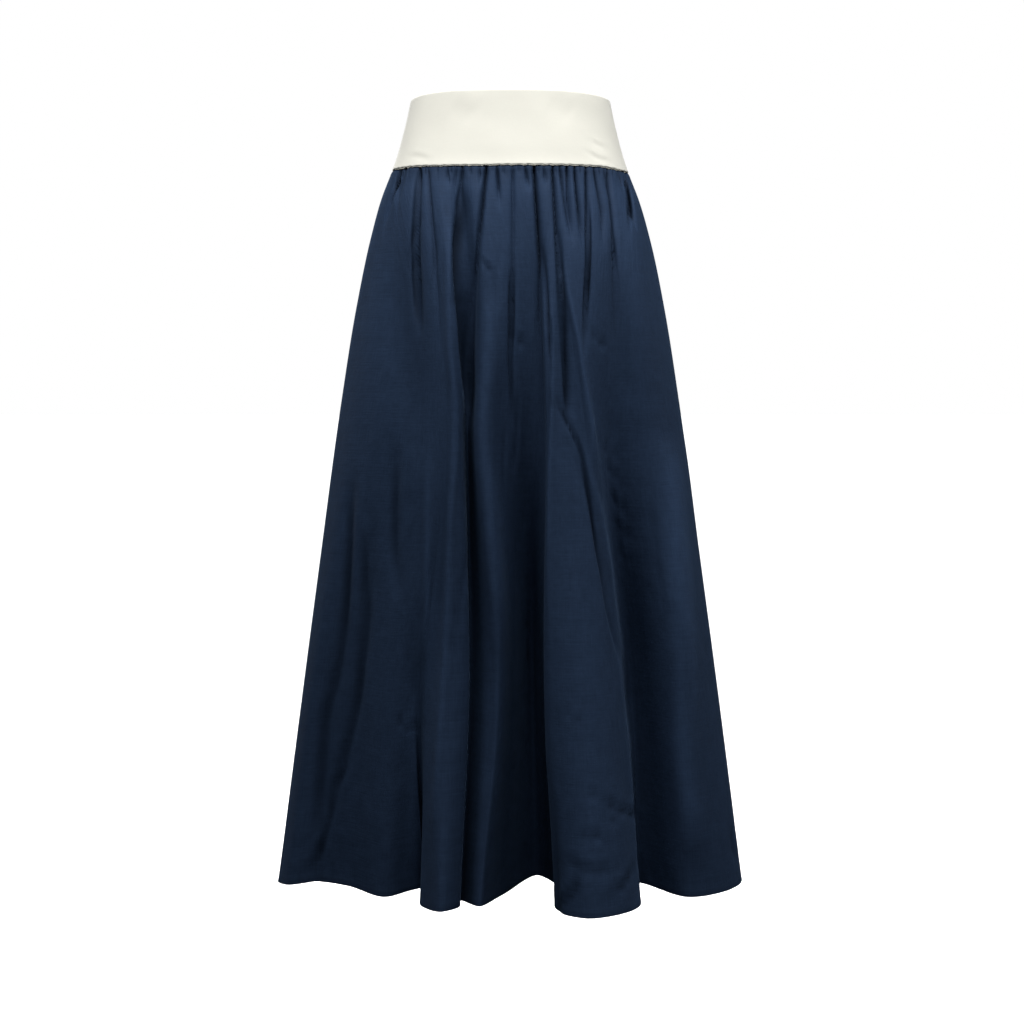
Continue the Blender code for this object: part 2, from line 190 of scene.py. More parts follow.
# Short puckers between the gathers, straight under the seam, in the same columns.
FRONT_PUCKERS = (
    (-129, -130, -131, 16, 1.3, 2.4),
    (-120, -121, -121, 13, 1.5, 2.2),
    (-101, -101, -102, 17, 1.6, 2.4),
    (-86, -86, -87, 12, 1.3, 2.2),
    (-70, -70, -70, 14, 1.4, 2.2),
    (-47, -47, -46, 15, 1.5, 2.4),
    (-21, -21, -21, 12, 1.3, 2.0),
    (-8, -8, -7, 16, 1.4, 2.2),
    (10, 10, 10, 13, 1.5, 2.2),
    (33, 33, 33, 14, 1.6, 2.2),
    (54, 54, 55, 16, 1.4, 2.0),
    (67, 67, 67, 15, 1.5, 2.2),
    (83, 83, 84, 13, 1.5, 2.2),
    (105, 106, 106, 14, 1.4, 2.2),
    (122, 122, 123, 12, 1.3, 2.0),
)
BACK_PUCKERS = (
    (130, 130, 131, 14, 1.4, 2.3),
    (118, 118, 119, 16, 1.5, 2.2),
    (95, 95, 96, 13, 1.3, 2.2),
    (82, 82, 82, 15, 1.6, 2.3),
    (71, 71, 72, 12, 1.3, 2.0),
    (49, 49, 49, 16, 1.5, 2.2),
    (36, 36, 36, 13, 1.4, 2.2),
    (14, 14, 14, 15, 1.5, 2.3),
    (1, 1, 1, 12, 1.3, 2.0),
    (-12, -12, -12, 14, 1.5, 2.2),
    (-34, -34, -35, 16, 1.4, 2.2),
    (-47, -47, -47, 13, 1.5, 2.2),
    (-60, -60, -61, 15, 1.4, 2.3),
    (-73, -73, -74, 12, 1.3, 2.0),
    (-85, -85, -86, 14, 1.5, 2.2),
    (-97, -97, -98, 13, 1.4, 2.2),
    (-109, -109, -110, 15, 1.5, 2.3),
    (-121, -122, -122, 13, 1.3, 2.2),
)

# Small creases, each a soft trough with a ridge beside it, along a bowed line as seen from straight in front or
# behind: x and z of both ends, how far the middle sags, half width and depth.
FRONT_CREASES = (
    ("smile on the left panel", -137, -738, -102, -743, 6, 2.2, 2.0),
    ("its upper line", -126, -733, -108, -735, 3, 2.0, 0.6),
    ("great fold, fleck", 62, -722, 83, -732, -2, 2.4, 1.5),
    ("great fold, hook", 107, -827, 150, -858, -5, 3.0, 2.4),
    ("great fold, hook's branch", 112, -842, 138, -848, 3, 2.4, 1.5),
    ("great fold, level line", 84, -811, 122, -817, 3, 2.2, 1.4),
    ("great fold, second level line", 96, -786, 140, -790, 2, 2.4, 0.6),
    ("great fold, lower fleck", 80, -862, 112, -871, -6, 3.0, 2.0),
    ("great fold, lower branch", 88, -872, 104, -886, 2, 2.6, 0.8),
    ("great fold, slant at hem", 60, -945, 78, -914, 3, 5.0, 2.2),
    ("great fold, right slant", 118, -930, 146, -905, 4, 5.0, 2.2),
    ("great fold, low wave", 66, -893, 120, -900, 5, 6.0, 1.6),
    ("great fold's diagonal, soft side", 56, -379, 103, -544, -7, 5.0, 1.2),
    ("great fold's diagonal, lower", 101, -530, 131, -672, -5, 5.0, 1.0),
    ("wrinkle beside the great fold", 105, -412, 127, -426, 2, 2.2, 1.4),
    ("second wrinkle there", 112, -436, 133, -455, 2, 2.4, 1.4),
    ("third wrinkle there", 118, -470, 140, -492, 3, 2.2, 1.4),
    ("fourth wrinkle there", 124, -505, 143, -520, 2, 2.4, 1.2),
    ("fifth wrinkle there", 128, -540, 146, -549, 2, 2.2, 1.2),
    ("dent under the gathers", -33, -200, -21, -208, 2, 2.6, 1.7),
    ("dent on the left fold", -67, -245, -51, -246, 3, 2.4, 1.6),
    ("dent in the centre", 4, -285, 24, -298, 2, 3.0, 1.6),
    ("dent on the great fold", 92, -280, 117, -298, 3, 3.0, 1.6),
    ("right side fleck", 164, -318, 183, -330, 2, 2.6, 0.6),
    ("left crease by the hem", -240, -930, -217, -840, 5, 5.0, 2.4),
    ("left crease above it", -216, -828, -196, -798, 3, 4.0, 1.2),
    ("left long crease", -188, -470, -197, -640, 3, 5.0, 1.0),
    ("left second crease", -163, -495, -170, -650, -3, 5.0, 0.9),
    ("left third crease", -177, -552, -184, -720, 2, 6.0, 1.1),
    ("left fourth crease", -136, -450, -138, -560, 2, 4.5, 0.8),
    ("centre fine crease", -6, -396, -9, -480, 1, 2.4, 1.3),
    ("centre second crease", 8, -360, 4, -446, -1, 2.4, 1.3),
    ("great fold, fine crease", 71, -440, 82, -600, 2, 3.5, 0.6),
    ("great fold, right fine crease", 117, -440, 133, -555, 2, 3.5, 0.7),
    ("right panel crease", 165, -452, 181, -604, 3, 5.0, 0.8),
    ("right panel second crease", 230, -555, 245, -730, 3, 5.0, 0.7),
    ("right panel third crease", 196, -610, 213, -760, -3, 5.0, 0.6),
    ("right hem flick", 273, -884, 277, -922, 3, 4.0, 2.4),
    ("left gathers, slack line", -104, -150, -121, -205, 3, 3.5, 0.9),
    ("left gathers, second slack line", -86, -165, -93, -235, -2, 3.0, 0.8),
    ("right gathers, slack line", 112, -150, 118, -215, -3, 3.5, 0.9),
    ("centre slack line", -12, -190, -16, -262, 2, 3.0, 0.7),
    ("right slack line", 40, -200, 44, -255, 1, 2.4, 0.7),
)
BACK_CREASES = (
    ("smile on the right", 112, -700, 150, -706, 6, 2.4, 1.2),
    ("fleck on the second fold", 96, -760, 128, -772, -3, 2.6, 0.9),
    ("third fold's line", 18, -640, 48, -648, 3, 2.4, 0.8),
    ("fourth fold's hook", -80, -800, -40, -826, -5, 3.0, 1.3),
    ("fourth fold's branch", -72, -818, -48, -822, 3, 2.4, 0.8),
    ("fifth fold's line", -160, -716, -128, -724, 4, 2.4, 0.9),
    ("fifth fold, low wave", -168, -884, -126, -892, 5, 5.0, 1.1),
    ("right hem slant", 196, -930, 218, -895, 4, 5.0, 1.2),
    ("left hem slant", -236, -935, -212, -884, -4, 5.0, 1.3),
    ("seat's left diagonal", -60, -300, -96, -460, 6, 5.5, 1.6),
    ("seat's right diagonal", 66, -290, 108, -450, -6, 5.5, 1.7),
    ("middle long crease", -4, -380, -8, -560, 2, 4.0, 0.9),
    ("right long crease", 160, -470, 178, -640, 3, 5.0, 1.0),
    ("left long crease", -158, -450, -176, -620, -3, 5.0, 1.0),
    ("left second crease", -120, -520, -130, -690, 2, 5.0, 0.8),
    ("dent under the gathers", 22, -205, 38, -214, 2, 2.6, 1.0),
    ("second dent", -84, -240, -66, -250, 3, 2.8, 0.9),
    ("third dent", -24, -310, -4, -320, 2, 3.0, 0.9),
    ("right slack line", 92, -160, 104, -225, 3, 3.2, 0.9),
    ("left slack line", -108, -155, -120, -220, -3, 3.2, 0.9),
    ("centre slack line", 6, -180, 4, -250, 2, 3.0, 0.7),
)
BAND_CREASES = (
    ("slant low on the right", 92, -72, 116, -80, 2, 3.0, 0.5),
    ("slant above it", 96, -58, 112, -64, 1, 3.0, 0.35),
    ("left low line", -118, -74, -96, -80, -1, 3.5, 0.35),
    ("upper left hollow", -70, -14, -38, -30, 6, 14.0, 0.5),
    ("upper right hollow", 44, -12, 78, -26, 6, 14.0, 0.5),
)

# Long tucks and ridges: how far each reaches to the left and right of its line, so that one side can be crisp
# and the other soft, and the (x, z, depth) points that the line runs down through. A ridge's depth is below 0.
FRONT_TUCKS = (
    ("left fold's deep gap", 4, 8, (
        (-58, -112, 0), (-59, -142, 5.5), (-61, -170, 8), (-62, -197, 9), (-60, -232, 8.5), (-57, -262, 8),
        (-53, -308, 7), (-49, -354, 5), (-47, -400, 0),
    )),
    ("left fold's bright line", 6, 3.5, (
        (-69, -129, 0), (-70, -178, -2.4), (-71, -250, -2.9), (-69, -308, -2.9), (-63, -365, -2.4),
        (-63, -423, -2.4), (-68, -481, -3.2), (-71, -550, -3.2), (-73, -620, -2.9), (-77, -689, -3.2),
        (-82, -760, -3.2), (-87, -831, -2.4), (-91, -890, 0),
    )),
    ("gap's right edge", 7, 3, (
        (-38, -129, 0), (-38, -165, 1), (-40, -226, 1.2), (-42, -285, 1.2), (-42, -342, 0),
    )),
    ("small fold's valley", 2.2, 3, (
        (2, -208, 0), (1, -238, 4), (1, -273, 4.8), (0, -319, 4), (2, -365, 3.2), (4, -400, 0),
    )),
    ("small fold's crown", 9, 12, (
        (-24, -238, 0), (-24, -273, -3.2), (-26, -319, -4), (-32, -376, -4), (-32, -423, -4),
        (-26, -481, -4.8), (-20, -550, -4.8), (-16, -620, -3), (-17, -680, 0), (-20, -740, 1.2),
        (-24, -831, 2), (-26, -902, 2), (-28, -990, 1.5),
    )),
    ("centre gather's tail", 1.8, 3.5, (
        (36, -178, 0), (38, -214, 2.7), (42, -262, 4.5), (45, -302, 2.7), (46, -336, 0),
    )),
    ("great fold's head", 2.5, 6, (
        (54, -160, 0), (56, -190, 2.5), (59, -238, 4.5), (61, -285, 6), (63, -331, 7), (64, -365, 5.4),
        (65, -395, 0),
    )),
    ("great fold's narrow line", 2, 2.5, (
        (91, -129, 0), (91, -165, 3.2), (90, -202, 4.5), (87, -250, 4.5), (86, -285, 2.7), (86, -308, 0),
    )),
    ("great fold's diagonal", 2.5, 2.5, (
        (52, -359, 0), (58, -372, 3.1), (78, -413, 4.1), (91, -473, 4.1), (101, -531, 4.1), (108, -567, 4.1),
        (114, -604, 3.7), (122, -639, 2.5), (131, -674, 0),
    )),
    ("strip beside the diagonal", 3, 4, (
        (93, -447, 0), (102, -481, -1.6), (112, -539, -2.3), (119, -585, -2.3), (126, -625, -2),
        (135, -672, -1), (141, -713, 0),
    )),
    ("left panel's long valley", 8, 6.5, (
        (-185, -447, 0), (-190, -481, 2.5), (-193, -539, 4.2), (-200, -620, 5.2), (-209, -689, 5.2),
        (-224, -754, 5.2), (-230, -819, 5.2), (-234, -890, 4.2), (-236, -949, 2),
    )),
    ("left panel's second valley", 7, 6, (
        (-173, -516, 0), (-174, -550, 3), (-173, -620, 5), (-179, -689, 5.2), (-192, -760, 5.2),
        (-209, -825, 4.4), (-220, -878, 0),
    )),
    ("left panel's third valley", 8, 7, (
        (-135, -400, 0), (-136, -447, 2.7), (-136, -550, 2.7), (-131, -608, 0),
    )),
    ("ridge beside it", 6, 6, (
        (-96, -412, 0), (-97, -481, -2.7), (-97, -550, -3.6), (-98, -620, -3.6), (-103, -678, 0),
    )),
    ("line across the left fold", 2.5, 3, (
        (-52, -544, 0), (-54, -567, 2.2), (-60, -608, 2.5), (-66, -648, 2.2), (-69, -672, 0),
    )),
    ("full cloth beside the left fold", 16, 4, (
        (-115, -701, 0), (-113, -760, -4), (-110, -831, -7), (-108, -902, -9), (-107, -955, -9),
        (-107, -990, -9),
    )),
    ("left soft hollow", 26, 26, (
        (-125, -130, 0), (-122, -190, 2.5), (-118, -262, 4), (-112, -330, 3.5), (-108, -400, 1.5),
        (-106, -450, 0),
    )),
    ("right soft hollow", 16, 26, (
        (118, -170, 0), (122, -215, 2.5), (126, -262, 3.5), (132, -320, 2.5), (138, -380, 0),
    )),
    ("great fold's light ridge", 4, 4, (
        (60, -190, 0), (65, -226, -3), (72, -262, -4), (78, -291, -4), (85, -336, -4), (91, -376, -4),
        (98, -424, -3), (105, -470, 0),
    )),
    ("great fold's bright left edge", 2, 4, (
        (44, -235, 0), (47, -262, -3), (48, -308, -4), (48, -365, -4), (46, -423, -3.5), (45, -481, -3),
        (44, -550, -2), (43, -640, 0),
    )),
    ("great fold's fuller right edge", 8, 10, (
        (140, -720, 0), (144, -780, -3.5), (147, -840, -4), (150, -902, -4), (150, -990, -4),
    )),
    ("great fold's left edge drawn in", 8, 6, (
        (44, -780, 0), (48, -840, 2.5), (51, -902, 4.5), (53, -990, 5),
    )),
    ("right ridge", 13, 18, (
        (184, -400, 0), (189, -447, -5.5), (194, -504, -7.7), (200, -574, -7.7), (206, -643, -6.6),
        (208, -713, -4.4), (205, -784, -4.4), (214, -866, -4.4), (220, -926, 0),
    )),
    ("far right gather", 2.5, 3, (
        (137, -100, 0), (140, -114, 6.4), (141, -129, 7.2), (141, -144, 4.8), (142, -160, 0),
    )),
    ("left gather", 4, 3.5, (
        (-108, -93, 0), (-109, -105, 2), (-110, -129, 3.5), (-112, -165, 3.5), (-111, -202, 3),
        (-109, -250, 2.5), (-106, -285, 0),
    )),
    ("far left gather", 2.5, 3, ((-133, -90, 2), (-133, -105, 3), (-133, -123, 2), (-136, -160, 0))),
    ("next left gather", 2, 3, ((-126, -90, 3), (-129, -107, 2.5), (-132, -129, 0))),
)
BACK_TUCKS = (
    ("second fold's crisp edge", 7, 2.2, (
        (84, -150, 0), (88, -210, 3), (93, -300, 3.5), (97, -400, 3), (100, -480, 0),
    )),
    ("fourth fold's crisp edge", 2.2, 8, (
        (-28, -140, 0), (-32, -200, 3), (-37, -290, 4), (-41, -380, 3.5), (-45, -470, 0),
    )),
    ("seat's diagonal", 2.5, 2.5, (
        (60, -360, 0), (50, -410, 2), (38, -480, 2.2), (30, -560, 2), (26, -620, 0),
    )),
    ("right panel's long valley", 7, 9, (
        (186, -450, 0), (192, -540, 2.2), (202, -640, 2.8), (216, -740, 2.8), (228, -840, 2), (232, -920, 0),
    )),
    ("left panel's long valley", 8, 7, (
        (-170, -430, 0), (-178, -530, 2), (-186, -630, 2.6), (-200, -730, 2.6), (-210, -830, 1.8),
        (-214, -900, 0),
    )),
    ("middle fold's bright line", 4, 6, (
        (28, -260, 0), (29, -340, -1.6), (31, -440, -2), (33, -560, -2), (35, -680, -1.6), (36, -780, 0),
    )),
)
CREASE_PAINTED_SHADE = 2.0  # a small crease's painted shade is as dark as if it were this much deeper
INNER_SPREAD = 2.5 * MM  # a tuck is this much wider inside, so that the wall keeps its thickness
INNER_RIDGE = 0.85  # a ridge is this share as high inside

# How far the edges of the waistband stand above an even curve, at each x.
TOP_EDGE = (
    (-120, -3.5), (-112, -2.0), (-103, -0.6), (-90, 0.1), (-75, 0.8), (60, 0.8), (72, 0.1), (84, -0.1),
    (96, -1.0), (107, -1.9), (120, -3.5),
)
SEAM_EDGE = (
    (-142, -0.6), (-110, 0.0), (-85, -0.7), (-30, -0.6), (-10, 0.1), (30, 0.8), (70, 1.6), (108, 2.0),
    (120, 1.1), (130, 0.0), (142, 0.0),
)
HEM_DROP = 1.4 * MM  # how much lower the hem is than the solids' hem

# ---- sewing ----
SCALLOP_HEIGHT = 0.28 * MM
SCALLOP_REACH = 6 * MM
SEAM_EDGE_REACH = 40 * MM  # how far down the skirt follows the seam's rise and fall
SEAM_TUCK = 1.3 * MM  # how far the skirt's edge is turned in under the waistband
SEAM_TUCK_REACH = 3.5 * MM
SIDE_GROOVE = 0.7 * MM
SIDE_GROOVE_WIDTH = 2.2 * MM
HEM_ROLL = 0.35 * MM
HEM_ROLL_REACH = 4 * MM
HEM_TURN = 20 * MM  # depth of the hem's turning, whose inner edge shows through a little
HEM_TURN_RIDGE = 0.12 * MM
HEM_TURN_WIDTH = 1.6 * MM

# ---- the mesh ----
FRONT_COLUMNS = 160  # of the solids, which set where the fold lines lie on the cloth
BACK_COLUMNS = 120
SLOPE_STEP = 1e-4
EDGE_STEPS = 7  # round the wall's two edges
SHARP_ANGLE = 60  # degrees
UPPER_COLUMNS = 720  # across a panel's outside, through the gathers; the inside has half as many
UPPER_DROP = 0.120  # how far down they reach
UPPER_ROWS = 32
UPPER_CROWDING = 1.4  # above 1, the rows lie closer together towards the seam
LOWER_ROWS = 96
BAND_CLOTH_COLUMNS = 240
BAND_CLOTH_ROWS = 36


def curve_through(stations, values, at):
    """A smooth curve through the values at the stations, each slope taken from its two neighbours."""
    stations = np.asarray(stations, float)
    values = np.asarray(values, float)
    gaps = np.diff(stations)[:, None]
    rises = np.diff(values, axis=0) / gaps
    inner = (gaps[1:] * rises[:-1] + gaps[:-1] * rises[1:]) / (gaps[1:] + gaps[:-1])
    slopes = np.vstack([rises[:1], inner, rises[-1:]])
    low = np.clip(np.searchsorted(stations, at, side="right") - 1, 0, len(stations) - 2)
    gap = gaps[low]
    s = (np.asarray(at, float)[:, None] - stations[low][:, None]) / gap
    return (
        values[low] * (1 + 2 * s) * (1 - s) ** 2
        + slopes[low] * gap * s * (1 - s) ** 2
        + values[low + 1] * s**2 * (3 - 2 * s)
        + slopes[low + 1] * gap * s**2 * (s - 1)
    )


def section_sizes(height):
    """Half width, front depth and back depth of the smooth section at a height."""
    rows = [Section(*row) for row in reversed(SECTIONS)]
    heights = [row.height for row in rows]
    sizes = [(row.half_width, row.front_depth, row.back_depth) for row in rows]
    return curve_through(heights, sizes, [height])[0]


def smooth_depth(share, depth):
    """Depth of the smooth section where x is this share of its half width."""
    inside = np.clip(1.0 - np.abs(share) ** SQUARENESS, 0.0, 1.0)
    return depth * inside ** (1.0 / SQUARENESS)


def even_shares(cloth_shares, half_width, depth):
    """x, as a share of the half width, of points that divide the line from -X to +X in these shares."""
    angle = np.linspace(np.pi, 0.0, 721)
    share = np.cos(angle)
    steps = np.hypot(np.diff(share * half_width), np.diff(smooth_depth(share, depth)))
    length = np.concatenate([[0.0], np.cumsum(steps)])
    return np.interp(np.asarray(cloth_shares) * length[-1], length, share)


def fold_side(folds, direction):
    """Shares of x, outs in metres at each fold height, and lifts, of one side with its two seams."""
    widths = np.array([section_sizes(height)[0] for height in FOLD_HEIGHTS])
    no_out = (0,) * len(FOLD_HEIGHTS)
    left_seam = ("seam at -X", tuple(-widths / MM), no_out, LEFT_SEAM_LIFT)
    right_seam = ("seam at +X", tuple(widths / MM), no_out, RIGHT_SEAM_LIFT)
    start, end = (left_seam, right_seam)[::direction]
    rows = [Fold(*row) for row in (start, *folds, end)]
    shares = np.array([row.x for row in rows]) * MM / widths
    outs = np.array([row.out for row in rows]) * MM
    lifts = np.array([row.lift for row in rows]) * MM
    return shares, outs, lifts


def cloth_places(shares, outs, depth_column):
    """How far along the hem each fold line lies, from 0 to 1, moved to the nearest column of the solids."""
    sizes = section_sizes(HEM_Z)
    x = shares[:, -1] * sizes[0]
    depth = smooth_depth(shares[:, -1], sizes[depth_column]) + outs[:, -1]
    length = np.concatenate([[0.0], np.cumsum(np.hypot(np.diff(x), np.diff(depth)))])
    columns = (FRONT_COLUMNS if depth_column == 1 else BACK_COLUMNS) // 2
    return np.round(length / length[-1] * columns) / columns


def fold_lines():
    """Places, shares by height, outs by height and lifts of all fold lines, from seam round to seam."""
    front = fold_side(FRONT_FOLDS, 1)
    back = fold_side(BACK_FOLDS, -1)
    front_places = cloth_places(front[0], front[1], 1)
    back_places = cloth_places(back[0], back[1], 2)
    top = section_sizes(SEAM_Z)
    front_top = even_shares(front_places, top[0], top[1])
    back_top = -even_shares(back_places, top[0], top[2])
    places = np.concatenate([front_places[:-1], 1.0 + back_places])
    shares = np.vstack([front[0][:-1], back[0]])
    outs = np.vstack([front[1][:-1], back[1]])
    lifts = np.concatenate([front[2][:-1], back[2]])
    top_shares = np.concatenate([front_top[:-1], back_top])
    shares = np.column_stack([top_shares, shares])
    outs = np.column_stack([np.zeros(len(outs)), outs])
    return places, shares, outs, lifts


PLACES, SHARES, OUTS, LIFTS = fold_lines()
LINE_HEIGHTS = (SEAM_Z, *FOLD_HEIGHTS)


def round_the_section(keys, at):
    """A smooth closed curve through the key points, one for each fold line, at these places along it."""
    steps = np.hypot(*np.diff(keys[:, :2], axis=0).T)
    length = np.concatenate([[0.0], np.cumsum(steps)])
    around = np.concatenate([length[-4:-1] - length[-1], length, length[1:4] + length[-1]])
    closed = np.vstack([keys[-4:-1], keys, keys[1:4]])
    return curve_through(around, closed, np.interp(at, PLACES, length))


def ease(value):
    """0 up to 1, level at both ends."""
    value = np.clip(value, 0.0, 1.0)
    return value * value * (3.0 - 2.0 * value)


def gather_pull(gathers, share, half_width, drop):
    """How far the gathers draw the cloth in, where x is this share of the half width."""
    angle = np.arccos(np.clip(share, -1.0, 1.0))
    pull = np.zeros_like(angle)
    rise = GATHER_AT_SEAM + (1.0 - GATHER_AT_SEAM) * ease(drop / GATHER_RISE)
    for row in gathers:
        gather = Gather(*row)
        run = drop / (gather.length * MM)
        if run >= 1.0:
            continue
        x = np.interp(run, (0.0, 0.5, 1.0), (gather.x_top, gather.x_middle, gather.x_end)) * MM
        centre = np.arccos(np.clip(x / half_width, -1.0, 1.0))
        width = gather.half_width * MM * GATHER_NARROWNESS * (1 + GATHER_WIDENING * run)
        away = (angle - centre) * half_width / width
        fade = 1.0 - ease((run - GATHER_FADE) / (1.0 - GATHER_FADE))
        depth = gather.depth * MM * GATHER_DEEPENING * rise * fade
        pull += depth * np.exp(-np.abs(away) ** GATHER_SHARPNESS)
    return pull


def skirt_line(place, down):
    """The skirt's outer surface at these places along a section, a share `down` of the way to the hem."""
    height = SEAM_Z + (HEM_Z - SEAM_Z) * down
    half_width, front_depth, back_depth = section_sizes(height)
    heights = LINE_HEIGHTS[::-1]
    shares = curve_through(heights, SHARES.T[::-1], [height])[0]
    outs = curve_through(heights, OUTS.T[::-1], [height])[0]
    front = PLACES <= 1.0
    depth = np.where(front, front_depth, back_depth)
    side = np.where(front, -1.0, 1.0)
    keys = np.column_stack([shares * half_width, side * (smooth_depth(shares, depth) + outs), LIFTS])
    x, y, lift = round_the_section(keys, place).T

    share = np.clip(x / half_width, -1.0, 1.0)
    drop = SEAM_Z - height
    in_front = place <= 1.0
    pull = np.where(
        in_front,
        gather_pull(FRONT_GATHERS + FRONT_PUCKERS, share, half_width, drop),
        gather_pull(BACK_GATHERS + BACK_PUCKERS, share, half_width, drop),
    )
    out_x = share / half_width
    out_y = np.sqrt(1.0 - share**2) / np.where(in_front, -front_depth, back_depth)
    out_size = np.hypot(out_x, out_y)
    x = x - pull * out_x / out_size
    y = y - pull * out_y / out_size
    seam_z = SEAM_Z - SEAM_GAP / 2 - SEAM_SLOPE * x
    z = seam_z + (HEM_Z - seam_z) * down + lift * down**3
    return np.column_stack([x, y, z])


def band_line(place, down):
    """The waistband's outer surface, from its top edge (down = 0) to the seam (down = 1)."""
    half_width, front_depth, back_depth = section_sizes(SEAM_Z * down)
    in_front = place <= 1.0
    front_share = even_shares(np.clip(place, 0.0, 1.0), half_width, front_depth)
    back_share = -even_shares(np.clip(place - 1.0, 0.0, 1.0), half_width, back_depth)
    share = np.where(in_front, front_share, back_share)
    x = share * half_width
    y = np.where(in_front, -smooth_depth(share, front_depth), smooth_depth(share, back_depth))
    z = (SEAM_Z + SEAM_GAP / 2 - SEAM_SLOPE * x) * down
    return np.column_stack([x, y, z])


def inward_normal(line, place, down):
    """Unit vectors square to the surface, towards the hollow."""
    across = line(place + SLOPE_STEP, down) - line(place - SLOPE_STEP, down)
    lower = line(place, min(down + SLOPE_STEP, 1.0))
    upper = line(place, max(down - SLOPE_STEP, 0.0))
    inward = np.cross(across, lower - upper)
    inward /= np.linalg.norm(inward, axis=1)[:, None]
    middle = line(np.array([place[0]]), down)[0]
    return -inward if np.dot(inward[0], middle) > 0 else inward


# ---- building a cloth shell ----
def profile_of(rows, wall, length):
    """The closed outline of the wall, as (share of the way down, depth into the wall) round from the top."""
    turn = [(1 - np.cos(a), np.sin(a)) for a in np.linspace(0, np.pi, EDGE_STEPS)[1:-1]]
    radius = wall / 2
    down_shift = radius / length
    outer = [(down, 0.0) for down in rows]
    hem = [(1.0 - down_shift + s * down_shift, radius * c) for c, s in turn]
    inner = [(down, wall) for down in reversed(rows)]
    top = [(down_shift - s * down_shift, wall - radius * c) for c, s in turn]
    outer[0] = (down_shift, 0.0)
    inner[-1] = (down_shift, wall)
    outer[-1] = (1.0 - down_shift, 0.0)
    inner[0] = (1.0 - down_shift, wall)
    return outer, hem, inner, top


def strip_faces(upper, lower):
    """Faces between two rings of points, where one has as many columns as the other, or half as many."""
    if len(upper) == len(lower):
        return [
            (upper[i], lower[i], lower[i + 1], upper[i + 1]) for i in range(len(upper) - 1)
        ]
    if len(upper) < len(lower):
        return [face[::-1] for face in strip_faces(lower, upper)]
    faces = []
    for i in range(len(lower) - 1):
        left, middle, right = upper[2 * i : 2 * i + 3]
        faces.append((left, lower[i], middle))
        faces.append((middle, lower[i], lower[i + 1]))
        faces.append((middle, lower[i + 1], right))
    return faces


def build_shell(name, line, front, profile, columns_at, relief, cloth_size, material):
    """A closed cloth wall between the side seams, with its flat cut as its UV map."""
    start = 0.0 if front else 1.0
    outer, hem, inner, top = profile
    points = []
    flat = []
    painted_fold_shade_values = []
    rings = []
    for down, inset in (*outer, *hem, *inner, *top):
        columns = columns_at(down, inset)
        place = np.linspace(start, start + 1.0, columns + 1)
        surface = line(place, down)
        inward = inward_normal(line, place, down)
        height, hollow = relief(place - start, down, surface, inset)
        ring = surface + inward * (inset - height)[:, None]
        ring[0, 1] = 0.0  # sewn, so the two panels meet here
        ring[-1, 1] = 0.0
        rings.append(list(range(len(points), len(points) + len(ring))))
        points.extend(ring)
        painted_fold_shade_values.extend(hollow)
        flat.extend((share * cloth_size[0], (1 - down) * cloth_size[1]) for share in place - start)

    faces = []
    for number, ring in enumerate(rings):
        faces += strip_faces(ring, rings[(number + 1) % len(rings)])
    half = len(outer) + len(hem)
    outward = rings[:half]
    back_again = rings[half:][::-1]
    for column in (0, -1):
        left = [ring[column] for ring in outward]
        right = [ring[column] for ring in back_again]
        cap = [*left, *reversed(right)]
        faces.append(cap[::-1] if column == 0 else cap)

    mesh = bpy.data.meshes.new(name)
    mesh.from_pydata([tuple(point) for point in points], [], faces)
    uv = mesh.uv_layers.new(name="flat_cut")
    corner = np.empty(len(mesh.loops), np.int32)
    mesh.loops.foreach_get("vertex_index", corner)
    uv.data.foreach_set("uv", np.asarray(flat)[corner].ravel())
    # The folds' painted shade and highlight, in millimetres, for the cloth's colour.
    mesh.attributes.new("hollow", "FLOAT", "POINT").data.foreach_set("value", np.asarray(painted_fold_shade_values) / MM)
    mesh.shade_smooth()
    mesh.set_sharp_from_angle(angle=np.radians(SHARP_ANGLE))
    mesh.materials.append(material)
    piece = bpy.data.objects.new(name, mesh)
    bpy.context.scene.collection.objects.link(piece)
    return piece


def skirt_columns(down, inset):
    """Fine columns through the gathers, half as many below them, and half as many again inside."""
    fine = UPPER_COLUMNS if down * SKIRT_LENGTH <= UPPER_DROP + 1e-6 else UPPER_COLUMNS // 2
    return fine if inset < SKIRT_WALL / 2 else fine // 2


def skirt_rows():
    """Shares of the way down: close together at the seam, wider below."""
    upper = UPPER_DROP * np.linspace(0.0, 1.0, UPPER_ROWS + 1) ** UPPER_CROWDING
    lower = np.linspace(UPPER_DROP, SKIRT_LENGTH, LOWER_ROWS + 1)[1:]
    return list(np.concatenate([upper, lower]) / SKIRT_LENGTH)


# ---- small forms on the surfaces ----
def crease_height(creases, surface):
    """Height of the small creases at these points, outward: a trough with a lower ridge beside it."""
    x, z = surface[:, 0], surface[:, 2]
    height = np.zeros(len(x))
    for row in creases:
        crease = Crease(*row)
        start = np.array([crease.x_start, crease.z_start]) * MM
        end = np.array([crease.x_end, crease.z_end]) * MM
        width = crease.half_width * MM
        reach = 4 * width + abs(crease.bow) * MM
        if not min(start[1], end[1]) - reach < z.mean() < max(start[1], end[1]) + reach:
            continue
        length = np.hypot(*(end - start))
        along_x, along_z = (end - start) / length
        run = ((x - start[0]) * along_x + (z - start[1]) * along_z) / length
        off = (x - start[0]) * -along_z + (z - start[1]) * along_x
        off = off + crease.bow * MM * 4 * np.clip(run, 0, 1) * (1 - np.clip(run, 0, 1))
        beyond = np.maximum(np.maximum(-run, run - 1), 0) * length
        fade = np.exp(-((beyond / (2 * width)) ** 2)) * (0.35 + 0.65 * ease(4 * run) * ease(4 - 4 * run))
        trough = np.exp(-((off / width) ** 2))
        ridge = np.exp(-(((off - 1.7 * width) / width) ** 2))
        height += crease.depth * MM * fade * (0.55 * ridge - trough)
    return height


